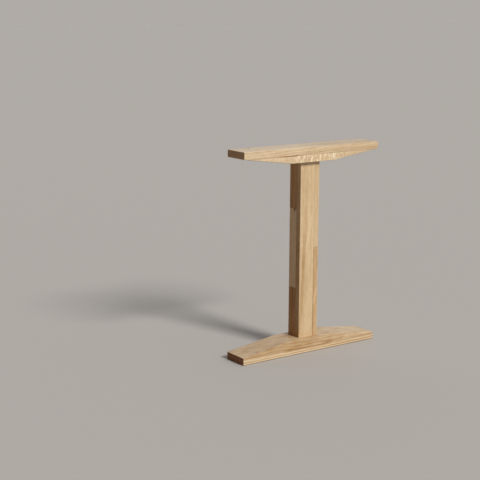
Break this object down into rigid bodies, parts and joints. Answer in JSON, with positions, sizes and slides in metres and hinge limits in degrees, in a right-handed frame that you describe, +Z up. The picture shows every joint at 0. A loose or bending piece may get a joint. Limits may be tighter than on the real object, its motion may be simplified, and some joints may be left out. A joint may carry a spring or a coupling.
{
  "type": "trestle table leg",
  "caption": "I-shaped oak table leg: laminated post between a top rail and a foot rail, both tapered to their ends, with slotted screw holes for the table top.",
  "frame": {"origin": "on the floor, under the middle of the post", "axes": "+Z up, X along the rails, -Y the front"},
  "size_m": [0.575, 0.097, 0.72],
  "materials": {
    "oak_pale": "matt oiled oak, pale straw colour, straight grain",
    "oak_brown": "matt oiled oak, browner stave",
    "beech": "plain turned beech"
  },
  "bodies": {
    "root": {"top_rail_upper_board": "oak_pale", "top_rail_lower_board": "oak_pale", "foot_lower_board": "oak_pale", "foot_upper_board": "oak_brown", "post_front_wide_stave": "oak_pale", "post_front_narrow_stave_upper": "oak_pale", "post_front_narrow_stave_lower": "oak_brown", "post_back_wide_stave": "oak_pale", "post_back_narrow_stave_upper": "oak_brown", "post_back_narrow_stave_middle": "oak_pale", "post_back_narrow_stave_lower": "oak_brown", "dowels": "beech"}
  },
  "joints": []
}
